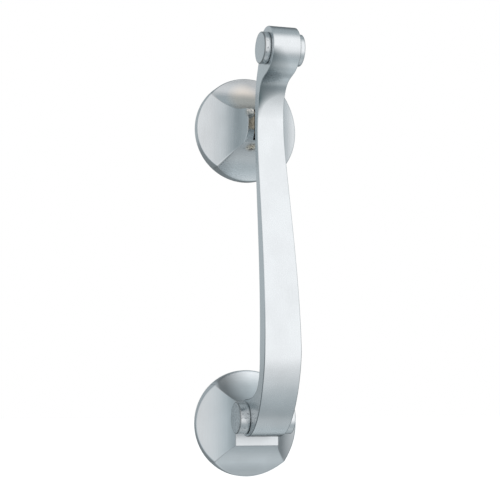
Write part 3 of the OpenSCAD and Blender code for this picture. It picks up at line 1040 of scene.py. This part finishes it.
def studio_grey(value):
    """Bright parts of the studio are neutral white, and dim parts a bluish grey."""
    whiteness = min(1.0, max(0.0, (value - 0.45) / 0.5))
    tint = [cool + (warm - cool) * whiteness for cool, warm in zip((0.86, 0.97, 1.02), (1.02, 1.0, 1.0))]
    return [value / LIGHT_SCALE * t for t in tint] + [1]


def degrees_ramp(tree, angle, stops, colour):
    """A soft colour ramp over an angle, from (degrees, value) stops."""
    places = [stop[0] for stop in stops]
    colours = [colour(stop[1]) for stop in stops]
    value = remap(tree, angle, 0, 1, math.radians(places[0]), math.radians(places[-1]))
    return colour_ramp(tree, value, places, colours, "EASE")


def build_world():
    """White behind the object, and in the reflections a soft studio that depends on direction."""
    world = bpy.data.worlds.new("studio")
    bpy.context.scene.world = world
    world.use_nodes = True
    tree = world.node_tree
    tree.nodes.clear()
    output = tree.nodes.new("ShaderNodeOutputWorld")
    coords = tree.nodes.new("ShaderNodeTexCoord")
    split = tree.nodes.new("ShaderNodeSeparateXYZ")
    tree.links.new(coords.outputs["Generated"], split.inputs[0])
    outward = math_node(tree, "MULTIPLY", split.outputs["Y"], -1.0)
    bearing = math_node(tree, "ARCTAN2", split.outputs["X"], outward)
    elevation = math_node(tree, "ARCSINE", split.outputs["Z"], 0.0)
    wall = degrees_ramp(tree, bearing, WALL_LIGHT, studio_grey)
    fill = degrees_ramp(tree, elevation, FILL_LIGHT, studio_grey)
    share = degrees_ramp(tree, elevation, WALL_SHARE, lambda level: (level, level, level, 1))
    behind = remap(tree, split.outputs["Y"], 0, 1, 0.3, 0.65)
    below = remap(tree, split.outputs["Z"], 0, 1, 0.05, -0.1)
    not_deep = remap(tree, split.outputs["Z"], 0, 1, -0.7, -0.45)
    shade = math_node(tree, "MULTIPLY", math_node(tree, "MULTIPLY", behind, below), not_deep)
    shade = math_node(tree, "MULTIPLY", shade, LIGHT_SCALE * (1 - BACK_FLOOR))
    leftward = remap(tree, split.outputs["X"], 0, 1, -0.6, -0.95)
    low = remap(tree, split.outputs["Z"], 0, 1, 0.14, -0.04)
    glow = math_node(tree, "MULTIPLY", math_node(tree, "MULTIPLY", leftward, low), LEFT_TABLE * LIGHT_SCALE)
    shade = math_node(tree, "SUBTRACT", shade, glow)
    studio = tree.nodes.new("ShaderNodeBackground")
    tree.links.new(mix_colour(tree, share, fill, wall), studio.inputs["Color"])
    tree.links.new(math_node(tree, "SUBTRACT", LIGHT_SCALE, shade), studio.inputs["Strength"])
    white = tree.nodes.new("ShaderNodeBackground")
    path = tree.nodes.new("ShaderNodeLightPath")
    white.inputs["Color"].default_value = (1, 1, 1, 1)
    mixer = tree.nodes.new("ShaderNodeMixShader")
    tree.links.new(path.outputs["Is Camera Ray"], mixer.inputs[0])
    tree.links.new(studio.outputs[0], mixer.inputs[1])
    tree.links.new(white.outputs[0], mixer.inputs[2])
    tree.links.new(mixer.outputs[0], output.inputs["Surface"])


def build_key_light():
    """A large softbox up on the right. In the metal's reflections the studio's gradients stand for it."""
    target = Vector((0, -0.03, -0.06))
    data = bpy.data.lights.new("key_softbox", "AREA")
    data.shape = "RECTANGLE"
    data.size, data.size_y = 0.9, 0.9
    data.energy = 3.0
    obj = bpy.data.objects.new("key_softbox", data)
    away = Vector((0.42, -0.80, 0.62)).normalized()
    obj.location = target + away * 1.1
    obj.rotation_euler = away.to_track_quat("Z", "Y").to_euler()
    obj.visible_glossy = False
    bpy.context.scene.collection.objects.link(obj)


# The photograph's viewpoint, fitted to the outlines in it.
CAMERA_PLACE = (-0.20066, -0.61109, -0.12132)
CAMERA_YAW, CAMERA_PITCH, CAMERA_ROLL = math.radians(18.4), math.radians(6.21), math.radians(-0.115)
CAMERA_LENS = 108.73


def build_camera():
    """The photograph's viewpoint: left of the knocker, level with its foot, looking slightly up."""
    ahead = Vector((math.sin(CAMERA_YAW), math.cos(CAMERA_YAW), 0))
    forward = ahead * math.cos(CAMERA_PITCH) + Vector((0, 0, math.sin(CAMERA_PITCH)))
    right = Vector((ahead.y, -ahead.x, 0))
    up = right.cross(forward)
    cos_roll, sin_roll = math.cos(CAMERA_ROLL), math.sin(CAMERA_ROLL)
    right, up = right * cos_roll + up * sin_roll, up * cos_roll - right * sin_roll
    camera = bpy.data.objects.new("camera", bpy.data.cameras.new("camera"))
    camera.data.sensor_width = 36
    camera.data.lens = CAMERA_LENS
    camera.data.clip_start = 0.01
    axes = Matrix((right, up, -forward)).transposed()
    camera.matrix_world = Matrix.Translation(CAMERA_PLACE) @ axes.to_4x4()
    bpy.context.scene.collection.objects.link(camera)
    bpy.context.scene.camera = camera


build_floor()
build_world()
build_key_light()
build_camera()
bpy.context.scene.view_settings.view_transform = "Standard"
